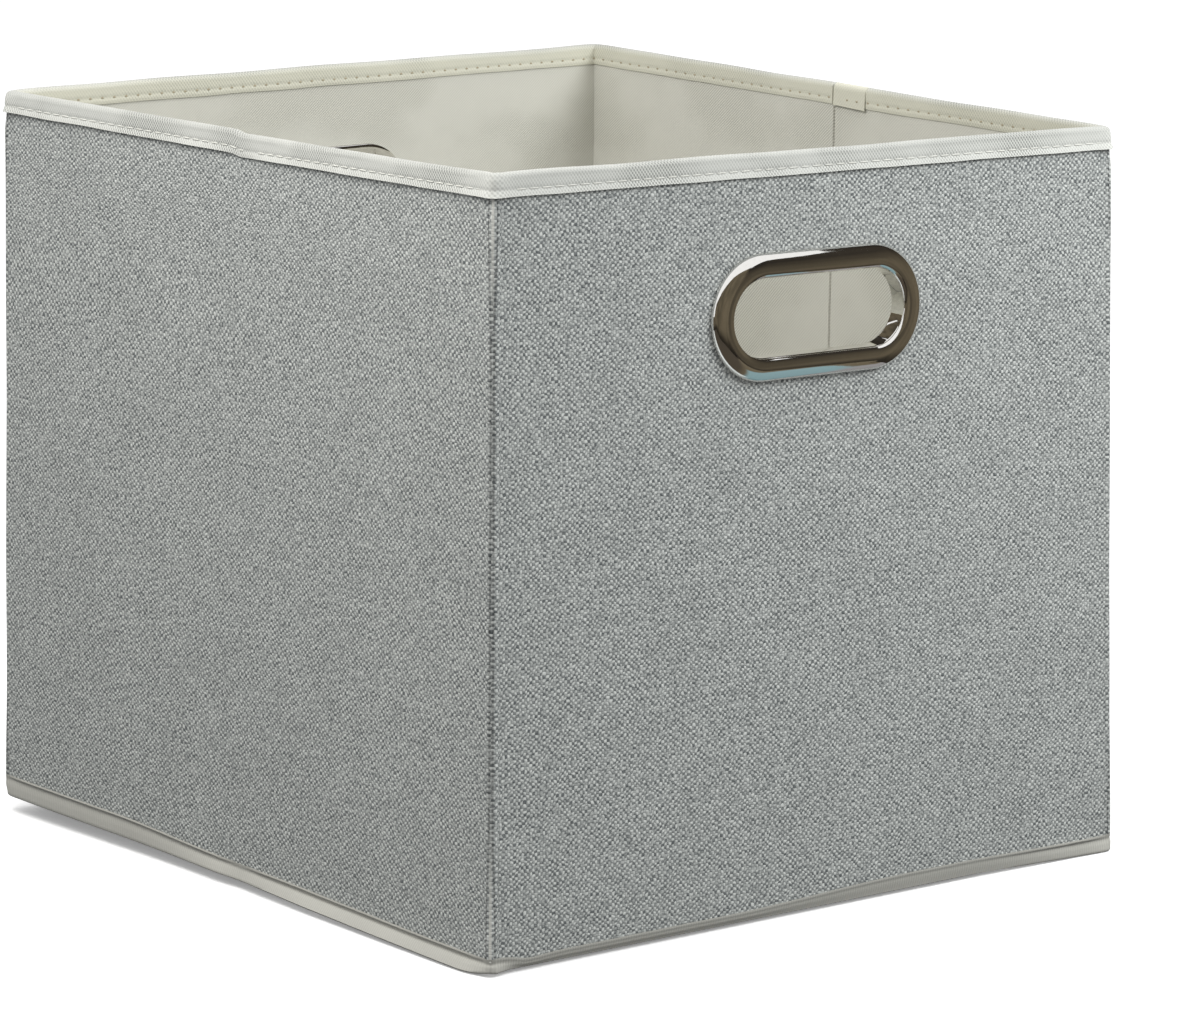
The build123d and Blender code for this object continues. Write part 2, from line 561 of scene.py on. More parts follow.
class Nodes:
    """A node tree, with short ways to add to it."""

    def __init__(self, tree):
        self.tree = tree

    def feed(self, socket, value):
        if isinstance(value, bpy.types.NodeSocket):
            self.tree.links.new(value, socket)
        else:
            socket.default_value = value

    def node(self, kind, inputs, output=0, **settings):
        made = self.tree.nodes.new("ShaderNode" + kind)
        for key, value in settings.items():
            setattr(made, key, value)
        for key, value in inputs.items():
            self.feed(made.inputs[key], value)
        return made.outputs[output]

    def math(self, operation, *values):
        return self.node("Math", dict(enumerate(values)), operation=operation)

    def times(self, a, b, *more):
        """a times b, and more added."""
        return self.math("MULTIPLY_ADD" if more else "MULTIPLY", a, b, *more)

    def minus(self, a, b):
        return self.math("SUBTRACT", a, b)

    def mix(self, share, a, b):
        """From a to b, as numbers."""
        return self.node("Mix", {0: share, 2: a, 3: b}, data_type="FLOAT")

    def blend(self, share, a, b):
        """From colour a to colour b."""
        return self.node("Mix", {0: share, 6: a, 7: b}, output=2, data_type="RGBA")

    def ramp(self, value, low, high, to_low=0.0, to_high=1.0):
        sockets = {0: value, 1: low, 2: high, 3: to_low, 4: to_high}
        return self.node("MapRange", sockets, interpolation_type="SMOOTHSTEP")

    def vector(self, x, y):
        return self.node("CombineXYZ", {0: x, 1: y})

    def split(self, vector):
        """A vector's three parts."""
        made = self.tree.nodes.new("ShaderNodeSeparateXYZ")
        self.feed(made.inputs[0], vector)
        return list(made.outputs)

    def noise(self, vector, scale, detail=2.0):
        return self.node("TexNoise", {"Vector": vector, "Scale": scale, "Detail": detail})

    def solid_place(self):
        """Place in the object's own space."""
        return self.node("TexCoord", {}, output=3)

    def rays(self):
        """Whether a ray comes from the camera, and whether it is mirrored."""
        path = self.tree.nodes.new("ShaderNodeLightPath")
        return path.outputs["Is Camera Ray"], path.outputs["Is Glossy Ray"]

    def dim(self, colour, share):
        """A colour made darker or lighter by a share that varies."""
        colour = colour[:3] if isinstance(colour, tuple) else colour
        return self.node("VectorMath", {0: colour, "Scale": share}, operation="SCALE")


class Shading(Nodes):
    """A material's nodes."""

    def __init__(self, name, roughness, metallic=0, sheen=0):
        self.material = bpy.data.materials.new(name)
        self.material.use_nodes = True
        super().__init__(self.material.node_tree)
        self.surface = self.tree.nodes["Principled BSDF"]
        self.set("Roughness", roughness)
        self.set("Metallic", metallic)
        self.set("Sheen Weight", sheen)

    def set(self, socket, value):
        self.feed(self.surface.inputs[socket], value)

    def colour(self, value):
        self.set("Base Color", value)

    def relief(self, heights, depth, strength):
        self.set("Normal", self.node("Bump", {"Height": heights, "Distance": depth, "Strength": strength}))

    def place(self):
        """Flat place on the cloth in millimetres: along, and up."""
        along, up, _ = self.split(self.node("UVMap", {}, uv_map="cloth"))
        self.flat = self.vector(along, up)
        return along, up


def woven_cloth():
    """Linen-look plain weave of pale and blue-grey yarns, with a dotted line at the corners."""
    warp_pitch, weft_pitch = 1.26, 1.1
    s = Shading("woven_cloth", roughness=0.88, sheen=0.1)
    along, up = s.place()
    fold, signed = 1000.0, 1.0
    for ridge in ridges:
        offset = s.minus(along, ridge / MM)
        fold = s.math("MINIMUM", fold, s.math("ABSOLUTE", offset))
        signed = s.times(signed, offset)
    at_ends = s.ramp(s.math("ABSOLUTE", s.minus(up, height / MM / 2)), 90.0, 140.0)
    beside = s.math("ABSOLUTE", s.minus(fold, s.times(at_ends, 0.9, 0.5)))
    drift = s.noise(s.flat, 0.04)
    x = s.times(s.noise(s.flat, 0.23, 1.0), 2.4, along)
    y = s.times(s.noise(s.vector(up, along), 0.23, 1.0), 2.2, up)
    x = s.math("DIVIDE", s.times(drift, 2.2, x), warp_pitch)
    y = s.math("DIVIDE", s.times(drift, -2.2, y), weft_pitch)
    warp, weft = s.math("FLOOR", x), s.math("FLOOR", y)
    over = s.math("FLOORED_MODULO", s.math("ADD", warp, weft), 2.0)
    in_x = s.minus(s.math("FRACT", x), 0.5)
    in_y = s.minus(s.math("FRACT", y), 0.5)
    across = s.mix(over, in_y, in_x)
    lengthways = s.mix(over, in_x, in_y)
    knot = s.times(s.math("COSINE", s.times(across, 2.7)), s.math("COSINE", s.times(lengthways, 2.2)))
    warp_slub = s.noise(s.vector(s.times(warp, 3.7), s.times(y, 0.13)), 1.0)
    weft_slub = s.noise(s.vector(s.times(x, 0.12), s.times(weft, 3.7)), 1.0)
    slub = s.mix(over, weft_slub, warp_slub)
    speck = s.node("TexWhiteNoise", {"Vector": s.vector(warp, weft)}, noise_dimensions="2D")
    fleck = s.noise(s.flat, 0.75, 0.0)
    cloudy = s.noise(s.flat, 0.03)
    yarn = s.times(over, 0.55, s.times(speck, 0.35, -0.775))
    yarn = s.math("ADD", yarn, s.times(fleck, 1.0, s.times(slub, 0.5)))
    colour = s.blend(s.ramp(yarn, -0.3, 1.15), srgb(95, 100, 101), srgb(222, 225, 221))
    tone = s.times(knot, 0.42, 0.66)
    tone = s.times(tone, s.times(cloudy, 0.16, 0.92))
    turned = s.math("COSINE", s.times(s.math("ADD", up, s.math("SIGN", signed)), pi / 1.1))
    dots = s.times(turned, 0.4, 0.6)
    dark_line = s.times(s.ramp(beside, 0.1, 0.5, s.times(at_ends, 0.2, 0.55), 0.0), dots)
    light_line = s.times(s.ramp(fold, 0.2, 0.5, 0.8, 0.0), at_ends)
    tone = s.times(tone, s.minus(1.0, dark_line))
    s.colour(s.blend(light_line, s.dim(colour, tone), srgb(226, 226, 219)))
    s.relief(knot, 0.25 * MM, 0.5)
    return s.material


def embossed(name, pitch, lean, cross, tint, shade):
    """Pressed nonwoven: slanting lines of fine beads, crossed by fainter ones."""
    s = Shading(name, roughness=0.82, sheen=0.08)
    along, up = s.place()
    slant = s.math("DIVIDE", s.times(up, -lean, along), pitch)
    line = s.math("COSINE", s.times(slant, 2 * pi))
    other = s.math("DIVIDE", s.times(up, lean, along), pitch)
    bead = s.math("COSINE", s.times(other, 2 * pi))
    pressed = s.ramp(s.times(bead, cross, line), -0.6, 1.0)
    fibres = s.noise(s.flat, 1.9, 4.0)
    patchy = s.ramp(s.noise(s.flat, 0.022), 0.4, 0.62, 0.35, 1.0)
    cloudy = s.noise(s.flat, 0.05)
    pressed = s.times(pressed, patchy)
    colour = s.blend(pressed, tint, shade)
    tone = s.times(s.times(fibres, 0.12, 0.94), s.times(cloudy, 0.08, 0.96))
    s.colour(s.dim(colour, tone))
    s.relief(s.minus(s.times(fibres, 0.35), pressed), 0.05 * MM, 0.7)
    return s


def nonwoven(name, tint, shade):
    """The lining's stuff, which also covers the base."""
    return embossed(name, 1.45, -1.0, 0.2, srgb(*tint), srgb(*shade)).material


def rim_tape():
    """Cool off-white outside, creamier and plainer where it turns to the inside."""
    s = embossed("rim_tape", 1.5, -0.8, 0.7, srgb(217, 218, 212), srgb(150, 152, 147))
    _, run = s.place()
    inside = s.ramp(run, 9.5, 14.0)
    base = s.surface.inputs["Base Color"]
    painted = base.links[0].from_socket
    plainer = s.blend(0.65, painted, srgb(200, 201, 195))
    cream = s.node("VectorMath", {0: plainer, 1: (0.99, 0.965, 0.865)}, operation="MULTIPLY")
    fold = s.ramp(s.math("ABSOLUTE", s.minus(run, 10.0)), 0.8, 4.0, 0.68, 1.0)
    s.colour(s.dim(s.blend(inside, painted, cream), fold))
    return s.material


def hem_tape():
    """The foot's binding: cream grey with fine upright ribs."""
    s = Shading("hem_tape", roughness=0.85, sheen=0.08)
    along, up = s.place()
    sway = s.noise(s.flat, 0.2)
    rib = s.math("SINE", s.times(along, 5.2, s.times(sway, 3.0)))
    fibres = s.noise(s.vector(along, s.times(up, 0.4)), 2.4, 3.0)
    cloudy = s.noise(s.flat, 0.04)
    tone = s.times(rib, 0.05, s.times(fibres, 0.16, 0.86))
    tone = s.times(s.times(cloudy, 0.1, tone), s.ramp(up, 1.4, 2.6, 0.72, 1.0))
    s.colour(s.dim(srgb(191, 190, 182), tone))
    s.relief(s.math("ADD", rib, fibres), 0.04 * MM, 0.5)
    return s.material


def thread(name, light, dark):
    """Twisted sewing thread."""
    s = Shading(name, roughness=0.7, sheen=0.1)
    along, up = s.place()
    twist = s.math("SINE", s.times(s.math("ADD", along, up), 9.0))
    s.colour(s.blend(s.times(twist, 0.5, 0.5), dark, light))
    s.relief(twist, 0.03 * MM, 0.5)
    return s.material


def greyboard():
    """Pressed paper board with flecks and a faint grain."""
    s = Shading("greyboard", roughness=0.93)
    coords = s.solid_place()
    flecks = s.noise(coords, 900.0, 3.0)
    grain = s.noise(coords, 140.0, 4.0)
    tone = s.times(flecks, 0.35, s.times(grain, 0.25, 0.7))
    s.colour(s.dim(srgb(150, 145, 134), tone))
    s.relief(grain, 0.08 * MM, 0.5)
    return s.material


def chrome():
    """Bright plating over pressed steel: faint rub marks and a slow unevenness."""
    s = Shading("chrome", roughness=0.1, metallic=1)
    coords = s.solid_place()
    slow = s.noise(coords, 60.0)
    rubs = s.noise(coords, 700.0, 4.0)
    s.colour(s.blend(rubs, srgb(232, 230, 226), srgb(243, 242, 239)))
    s.set("Roughness", s.ramp(rubs, 0.35, 0.75, 0.02, 0.06))
    s.relief(slow, 0.25 * MM, 0.15)
    return s.material


cloth_look = woven_cloth()
lining_look = nonwoven("nonwoven_lining", (203, 202, 193), (172, 171, 161))
insert_look = nonwoven("insert_cover", (184, 183, 174), (156, 155, 146))
rim_look = rim_tape()
hem_look = hem_tape()
thread_look = thread("seam_thread", srgb(228, 228, 221), srgb(200, 200, 192))
shade_thread_look = thread("sunk_thread", srgb(182, 173, 150), srgb(152, 143, 120))
fold_thread_look = thread("fold_thread", srgb(176, 172, 156), srgb(146, 142, 128))
board_look = greyboard()
chrome_look = chrome()


# Grip places, from its packed bezel
Grip = namedtuple("Grip", "name body out centre half_run radius")


def make_grip(name, out):
    """A hand grip's facing, its opening's centre, half its straight run and its end radius."""
    low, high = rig.box(name + "_grip_bezel")
    radius = (high.z - low.z) / 2 - flange_width
    half_run = (high.x - low.x) / 2 - flange_width - radius
    centre = Vector(((low.x + high.x) / 2, out * hinge_y, (low.z + high.z) / 2))
    return Grip(name, name + "_wall", out, centre, half_run, radius)


grips = {"front": make_grip("front", -1), "rear": make_grip("rear", 1)}


def grip_distance(grip, x, z):
    """How far a point of the wall lies outside the grip's opening, and from where."""
    core = Vector((clamp(x, -grip.half_run, grip.half_run), grip.centre.z))
    away = Vector((x, z)) - core
    return away.length - grip.radius, core, away


def open_grip(obj, grip):
    """Cuts the grip's oblong hole, with a clean edge."""
    work = bmesh.new()
    work.from_mesh(obj.data)
    inside = {v for v in work.verts if grip_distance(grip, v.co.x, v.co.z)[0] < hole_margin}
    doomed = [f for f in work.faces if any(v in inside for v in f.verts)]
    bmesh.ops.delete(work, geom=doomed, context="FACES")
    for v in work.verts:
        gap, core, away = grip_distance(grip, v.co.x, v.co.z)
        if v.is_boundary and gap < 4 * hole_margin + 6 * MM:
            v.co.x, v.co.z = core + away.normalized() * (grip.radius + hole_margin)
    work.to_mesh(obj.data)
    work.free()


# Wall pieces
def stand_in(obj, node, slot):
    """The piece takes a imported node's place, in one of the part's slots."""
    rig.replaces(obj, node)
    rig.slot(obj, slot)


def own_body(w):
    return w.name + ("_wall" if w.name in grips else "_half")


def wall_sheet(name, w, low_at, high, depth_at, thick, look):
    """One layer of a wall: a thickened sheet, with the grip's hole."""
    first, last = w.first, w.last
    rows = []
    count = round((high - low_at(first)) / sheet_step)
    for at in marks_between(first, last, sheet_step, 0.45 * MM):
        spot = spot_at(at)
        low = low_at(at)
        row = []
        for k in range(count + 1):
            z = low + (high - low) * k / count
            row.append((box_point(spot, depth_at(at, z), z), (at / MM, z / MM)))
        rows.append(row)
    obj = loft(name, rows, False, look)
    if w.name in grips:
        open_grip(obj, grips[w.name])
    for v in obj.data.vertices:
        v.co = settle(v.co)
    return thicken(obj, thick)


def cloth_depth(at, z):
    """The outer cloth lies flat on its board, and is creased at the corners."""
    from_ridge = nearest(at, ridges)
    ripple = noise.noise(Vector((at / (55 * MM), z / (70 * MM), 3.1)))
    flat_edges = ease(z - 12 * MM, 30) * ease(height - 14 * MM - z, 30)
    at_ends = ease(abs(z - height / 2) - 90 * MM, 50)
    crease = (0.35 * at_ends - 0.15) * MM * bump(from_ridge, 0.6 * MM)
    return (cloth_skin + cloth_back) / 2 + 0.25 * MM * ripple * flat_edges + crease


def lining_depth(at, z):
    """The lining follows the boards' inside and dips at the folds."""
    ripple = noise.noise(Vector((at / (45 * MM), z / (60 * MM), 8.4)))
    flat = (lining_face + board_face) / 2
    away = ease(nearest(at, folds), 6)
    return pinch(at, flat + 0.12 * MM * ripple * away)


def cloth_foot(at):
    return hem_height - hem_sag(at) - 1.2 * MM


def make_layers():
    """The outer cloth runs down behind the hem, and the lining ends short of the folds."""
    high = height - rim_crown
    outer = ("_outer_cloth", "woven_cloth", cloth_look, 0.7 * MM, cloth_foot, hem_height,
             cloth_depth, cloth_skin)
    inner = ("_lining", "nonwoven_lining", lining_look, 0.5 * MM, lambda at: lining_low, lining_low,
             lining_depth, lining_face)
    for layer, slot, look, thick, low_at, low, depth_at, bend in (outer, inner):
        for w in walls:
            span = clear_of_fold(w) if layer == "_lining" else w
            obj = wall_sheet(w.name + layer + "_sheet", span, low_at, high, depth_at, thick, look)
            stand_in(obj, w.name + layer, slot)
            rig.sheet(obj, (w.last - w.first, high - low), "stretched", rests_on=[w.name + "_board"])
            carry(obj, w, bend)


def make_boards():
    """The stiff boards, set back from the corners and the folds."""
    middle = (board_face + cloth_back) / 2
    setback = hinge_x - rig.box("front_board")[1].x
    for w in walls:
        run = runs[w.name]
        inner = Wall(w.name, w.bodies, None, run.first + setback, run.last - setback)
        name = w.name + "_board"
        obj = wall_sheet(name + "_sheet", inner, lambda at: board_low, board_high,
                         lambda at, z: middle, cloth_back - board_face - 0.2 * MM, board_look)
        stand_in(obj, name, "greyboard")
        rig.ride(obj, own_body(w))


# Rim binding
def rim_lift(at):
    """The rim's top edge wanders a little and drops at the corners."""
    return 0.5 * MM * wander(at, 42, 0.7) - 0.25 * MM * bump(nearest(at, ridges), 5 * MM)


def rim_path(at):
    """Section of the rim tape: up the outside from its flared edge, over, and down the inside."""
    needle = cos(pi * at / stitch_pitch) ** 2
    corner = bump(nearest(at, ridges), 6 * MM)
    foot = height - rim_outer_leg + 0.25 * MM * wander(at, 25, 5.2)
    shoulder = height - tape_thick / 2 - rim_crown + rim_lift(at)
    outer, inner = wall - tape_thick / 2, tape_thick / 2
    swell = 0.15 * MM * wander(at, 30, 2.9) * off_fold(at)
    points = 14
    path = []
    for k in range(points):
        z = foot + (shoulder - foot) * k / points
        above = z - foot
        flare = rim_flare * max(0, 1 - above / stitch_rise) ** 1.5 * off_fold(at)
        flare += rim_flick * corner * max(0, 1 - above / rim_outer_leg)
        pull = stitch_pull * (0.55 + 0.45 * needle) * bump(above - stitch_rise, 0.8 * MM)
        path.append((outer + flare - pull + swell * ease(above, 8), z))
    middle, half = (outer + inner) / 2, (outer - inner) / 2
    for k in range(9):
        angle = pi * k / 8
        path.append((middle + half * cos(angle), shoulder + rim_crown * sin(angle)))
    inner_foot = height - rim_inner_leg + 0.25 * MM * wander(at, 22, 9.6)
    for k in range(1, points + 1):
        z = shoulder + (inner_foot - shoulder) * k / points
        above = z - inner_foot
        pull = 0.4 * MM * (0.3 + 0.7 * needle ** 4) * bump(above - stitch_rise, 0.8 * MM)
        sink = 0.18 * MM * max(0, 1 - above / (1.5 * MM))
        path.append((inner + pull + sink, z))
    return [(pinch(at, u), z) for u, z in path]


def capsule(mesh, start, end, radius, normal, flat):
    """Adds a stitch to a mesh: a rounded bar, flattened along a direction."""
    points, faces, coords = mesh
    rings, sides = 5, 6
    axis = end - start
    side = normal.cross(axis).normalized()
    base = len(points)
    for r in range(rings + 1):
        share = r / rings
        girth_here = radius * (0.25 + 0.75 * sin(pi * clamp(share, 0.06, 0.94)) ** 0.5)
        for k in range(sides):
            angle = 2 * pi * k / sides
            spoke = side * cos(angle) + normal * flat * sin(angle)
            points.append(start + axis * share + girth_here * spoke)
            coords.append((share * axis.length / MM, k / sides))
    for r in range(rings):
        for k in range(sides):
            a, b = base + r * sides + k, base + r * sides + (k + 1) % sides
            faces.append((a, b, b + sides, a + sides))
    faces.append(tuple(base + k for k in reversed(range(sides))))
    faces.append(tuple(base + rings * sides + k for k in range(sides)))


def stitch_marks(first, last, pitch):
    """Middles of the stitches between first and last, in step all round the bin."""
    k = ceil((first + pitch / 2) / pitch)
    while k * pitch + pitch / 2 <= last:
        yield k * pitch
        k += 1


def sunk_loop(mesh, at, depth):
    """Adds a loop of the lower thread, inside the rim."""
    spot = spot_at(at)
    level = height - rim_inner_leg + stitch_rise
    ends = [wall_point(spot, depth, level + r) for r in (-0.4 * MM, 0.4 * MM)]
    capsule(mesh, *ends, 0.7 * MM, spot.out, 0.3)


def rim_stitches(w):
    """Outside, a row of thread dashes. Inside, the sunk loops of the lower thread."""
    outside, inside = ([], [], []), ([], [], [])
    level = height - rim_outer_leg + stitch_rise
    for at in stitch_marks(w.first, w.last, stitch_pitch):
        ends = []
        for reach in (-stitch_length / 2, stitch_length / 2):
            spot = spot_at(clamp(at + stitch_pitch / 2 + reach, w.first, w.last))
            ends.append(wall_point(spot, wall - 0.12 * MM, level))
        capsule(outside, *ends, thread_radius, spot.out, 0.8)
        sunk_loop(inside, at, 0.16 * MM)
    for name, mesh, look in (("_rim", outside, thread_look), ("_rim_sunk", inside, shade_thread_look)):
        obj = mesh_object(w.name + name + "_stitching", *mesh, look)
        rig.slot(obj, "binding_tape")
        carry(obj, w, wall)


def make_rim():
    width = rim_outer_leg + rim_inner_leg + wall
    for w in walls:
        name = w.name + "_rim_binding"
        obj = tape(name + "_tape", w.first, w.last, rim_path, tape_thick, 1.5 * MM, rim_look)
        stand_in(obj, name, "binding_tape")
        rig.sheet(obj, (width, w.last - w.first), "folded", rests_on=[w.name + "_outer_cloth_sheet"])
        carry(obj, w, wall)
        rim_stitches(w)


def make_lap():
    """The rim tape's end, lapped inside the right wall in front of its fold."""
    last = runs["right_front"].last - fold_mouth
    first = last - lap_length

    def lap_path(at):
        from_end = min(at - first, last - at)
        lift = 0.1 * MM + 0.2 * MM * smooth(1 - from_end / (2 * MM))
        top = height - tape_thick + rim_lift(at)
        foot = height - rim_inner_leg - 0.2 * MM - 0.7 * MM * (last - at) / lap_length
        inner = -lap_thick / 2
        legs = [(inner - lift * (1 - k / 12), foot + (top - rim_crown - foot) * k / 12) for k in range(13)]
        turn, rise = 2.0 * MM, rim_crown + tape_thick
        angles = (0.4, 0.8, 1.2, 1.5)
        over = [(inner + turn * (1 - cos(a)), top - rim_crown + rise * sin(a)) for a in angles]
        return legs + over

    obj = tape("rim_binding_lap_tape", first, last, lap_path, lap_thick, 1.5 * MM, rim_look,
               run_from=rim_outer_leg + wall)
    stand_in(obj, "rim_binding_lap", "binding_tape")
    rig.sheet(obj, (rim_inner_leg + 3 * MM, lap_length), "folded", rests_on=["right_front_rim_binding_tape"])
    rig.ride(obj, "right_front_half")
    loops = ([], [], [])
    for at in stitch_marks(first, last, stitch_pitch):
        sunk_loop(loops, at, -lap_thick - 0.1 * MM)
    obj = mesh_object("rim_lap_sunk_stitching", *loops, shade_thread_look)
    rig.slot(obj, "binding_tape")
    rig.ride(obj, "right_front_half")


def make_fold_seams():
    """Stitches that draw the lining to the cloth in the middle of each side wall."""
    for side, at in (("right", folds[0] - seam_aside), ("left", folds[1] + seam_aside)):
        mesh = ([], [], [])
        spot = spot_at(at)
        z = lining_low + 6 * MM
        while z < height - rim_inner_leg - 1 * MM:
            ends = [wall_point(spot, lining_face + 1.0 * MM, z + r) for r in (-0.6 * MM, 0.6 * MM)]
            capsule(mesh, *ends, 0.28 * MM, spot.out, 0.8)
            z += seam_pitch
        obj = mesh_object(side + "_fold_stitching", *mesh, fold_thread_look)
        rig.slot(obj, "nonwoven_lining")
        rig.ride(obj, side + "_front_half")


# Hem binding
def corner_middle(name):
    corner = runs[name + "_corner"]
    return (corner.first + corner.last) / 2


def front_share(at):
    return at / runs["front"].last


def hem_tuck(at):
    """How far the band leans in under the wall, most along the front."""
    share = front_share(at)
    return smooth((share + 0.01) / 0.035) * smooth((1 - share) / 0.25) if 0 <= share <= 1 else 0


def hem_sag(at):
    """How far the hem's top edge sags. It dips on the left wall's front half and at the front's ends,
    and stands a little high towards the rear left corner."""
    rear_left = corner_middle("rear_left")
    at = at % girth
    if at > rear_left:
        from_corner = runs["front_left_corner"].first - at
        return 1.6 * MM - 2.6 * MM * ease(from_corner - 150 * MM, 90)
    share = front_share(at)
    if share > 1:
        return 1.4 * MM * smooth((1.02 - share) / 0.02) - MM * smooth(1 - (rear_left - at) / (60 * MM))
    left_half = hem_droop * (1 - 0.85 * smooth((share - 0.36) / 0.3)) * smooth((1 - share) / 0.15)
    left_half += 0.8 * MM * bump(share - 0.05, 0.03)
    at_corner = 1 - smooth(share / 0.045)
    return left_half + (1.6 * MM - left_half) * at_corner + 1.4 * MM * smooth((share - 0.75) / 0.25)


def hem_flare(at):
    """How far the band's lower edge stands out, most on the left wall's front half."""
    corner = runs["front_left_corner"]
    at = at % girth
    from_corner = corner.first - at
    if at > corner_middle("rear_left"):
        rounding = 12 * MM
        turned = smooth((rounding - from_corner) / (rounding + corner.last - corner.first))
        spread = 3.0 * MM * ease(230 * MM - from_corner, 110) * (1 - 0.85 * turned)
        return min(spread, 1.35 * MM + 0.035 * nearest(at, folds))
    at_right = 0.8 * MM * bump(at - corner_middle("front_right"), 10 * MM)
    return 0.45 * MM * (1 - ease(at, 12)) + at_right


def hem_path(at):
    """Section of the foot's tape: a rolled lip, a gap under it, the flat band, and a turn under."""
    tuck = hem_tuck(at)
    wave = wander(at, 35, 1.3)
    top = hem_height - hem_sag(at) + 0.15 * wave * MM
    skin = cloth_skin + hem_thick / 2 - 0.4 * MM * bump(nearest(at, ridges), 3 * MM)
    arch = 1.4 * MM * tuck + 1.2 * MM * bump(nearest(at, [corner_middle("front_left")]), 6 * MM)
    roll = (1 - bump(nearest(at, ridges), 8 * MM)) * (1 - 0.8 * tuck) * off_fold(at) * MM
    lip = ((0, 0.3), (0.35, 0), (0.7, 0.35), (0.62, 0.7), (0.15, 1.0), (-0.1, 1.5))
    path = [(skin + share * roll, top - drop * MM) for share, drop in lip]
    band_top, band_low = top - 2.0 * MM, 0.9 * MM + arch
    lean = hem_lean * tuck - hem_flare(at)
    for k in range(7):
        share = k / 6
        out = (0.3 + 0.1 * wave) * MM * smooth(share / 0.4) * (1 - 0.7 * tuck) * off_fold(at)
        path.append((skin - 0.05 * MM + out - lean * share, band_top + (band_low - band_top) * share))
    turn = skin + 0.2 * MM * off_fold(at) - lean
    path += [(turn - 0.2 * MM, 0.5 * MM + arch), (turn - 0.8 * MM, 0.3 * MM + arch)]
    path += [(u * MM, z * MM + arch) for u, z in ((2.2, 0.4), (1.7, 1.0), (1.4, 1.9))]
    path += [(0.7 * MM, 3.9 * MM), (hem_thick / 2, 5.0 * MM), (hem_thick / 2, hem_inner_leg)]
    return [(pinch(at, u), z) for u, z in path]


def make_hem():
    """The foot's tape. The front and rear lengths turn both of their corners."""
    for w in walls:
        first, last = runs[w.name].first, runs[w.name].last
        if w.name == "front":
            first, last = runs["front_left_corner"].first - girth, runs["front_right_corner"].last
        if w.name == "rear":
            first, last = runs["rear_right_corner"].first, runs["rear_left_corner"].last
        name = w.name + "_hem_binding"
        obj = tape(name + "_tape", first, last, hem_path, hem_thick, 2.5 * MM, hem_look)
        stand_in(obj, name, "binding_tape")
        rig.sheet(obj, (hem_width, last - first), "folded", rests_on=[w.name + "_outer_cloth_sheet"])
        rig.ride(obj, own_body(w))
        if w.name.startswith("left"):
            inwards_and_up = (0.39, 0, 0.92)
            anchor = (-hinge_x - cloth_skin - hem_thick / 2, 0, hem_height + 0.4 * MM)
            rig.squash(obj, "fold_left_front", inwards_and_up, anchor, keep=0.4)
        elif w.name != "front":
            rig.squash(obj, "fold_left_front", (0, 0, 1), (0, 0, hem_height + 0.9 * MM), keep=0.5)


# Hand grips
def grip_ring(name, grip, section, look):
    """A metal ring round the grip's opening, by its section of (out from the edge, out of the wall)."""
    ends, run = 30, 12
    track = []
    for side in (1, -1):
        for k in range(ends):
            angle = pi * k / ends - pi / 2
            track.append((side * grip.half_run, side * cos(angle), side * sin(angle)))
        for k in range(run):
            track.append((side * grip.half_run * (1 - 2 * k / run), 0, side))
    points, coords, faces = [], [], []
    count = len(section)
    for number, (x, dx, dz) in enumerate(track):
        this, after = number * count, (number + 1) % len(track) * count
        for k, (a, n) in enumerate(section):
            reach, beside = grip.radius + a, (k + 1) % count
            y = grip.out * (hinge_y + cloth_skin + n)
            points.append(settle(Vector((grip.centre.x + x + dx * reach, y, grip.centre.z + dz * reach))))
            coords.append((number, k))
            faces.append((this + k, after + k, after + beside, this + beside))
    return face_outwards(mesh_object(name, points, faces, coords, look))


def arc(centre, reach, start, end, count):
    """Points of an elliptical arc, by angles in degrees."""
    found = []
    for k in range(count + 1):
        angle = radians(start + (end - start) * k / count)
        found.append((centre[0] + reach[0] * cos(angle), centre[1] + reach[1] * sin(angle)))
    return found


def flank(turn, edge, run):
    """A side of the flange, turned by degrees: the radii of its edge and its bow, and its rise."""
    lean = radians(turn)
    edge_radius, bow = edge / (1 - sin(lean)), run / sin(lean)
    return edge_radius, bow, bow * (1 - cos(lean)) + edge_radius * cos(lean)


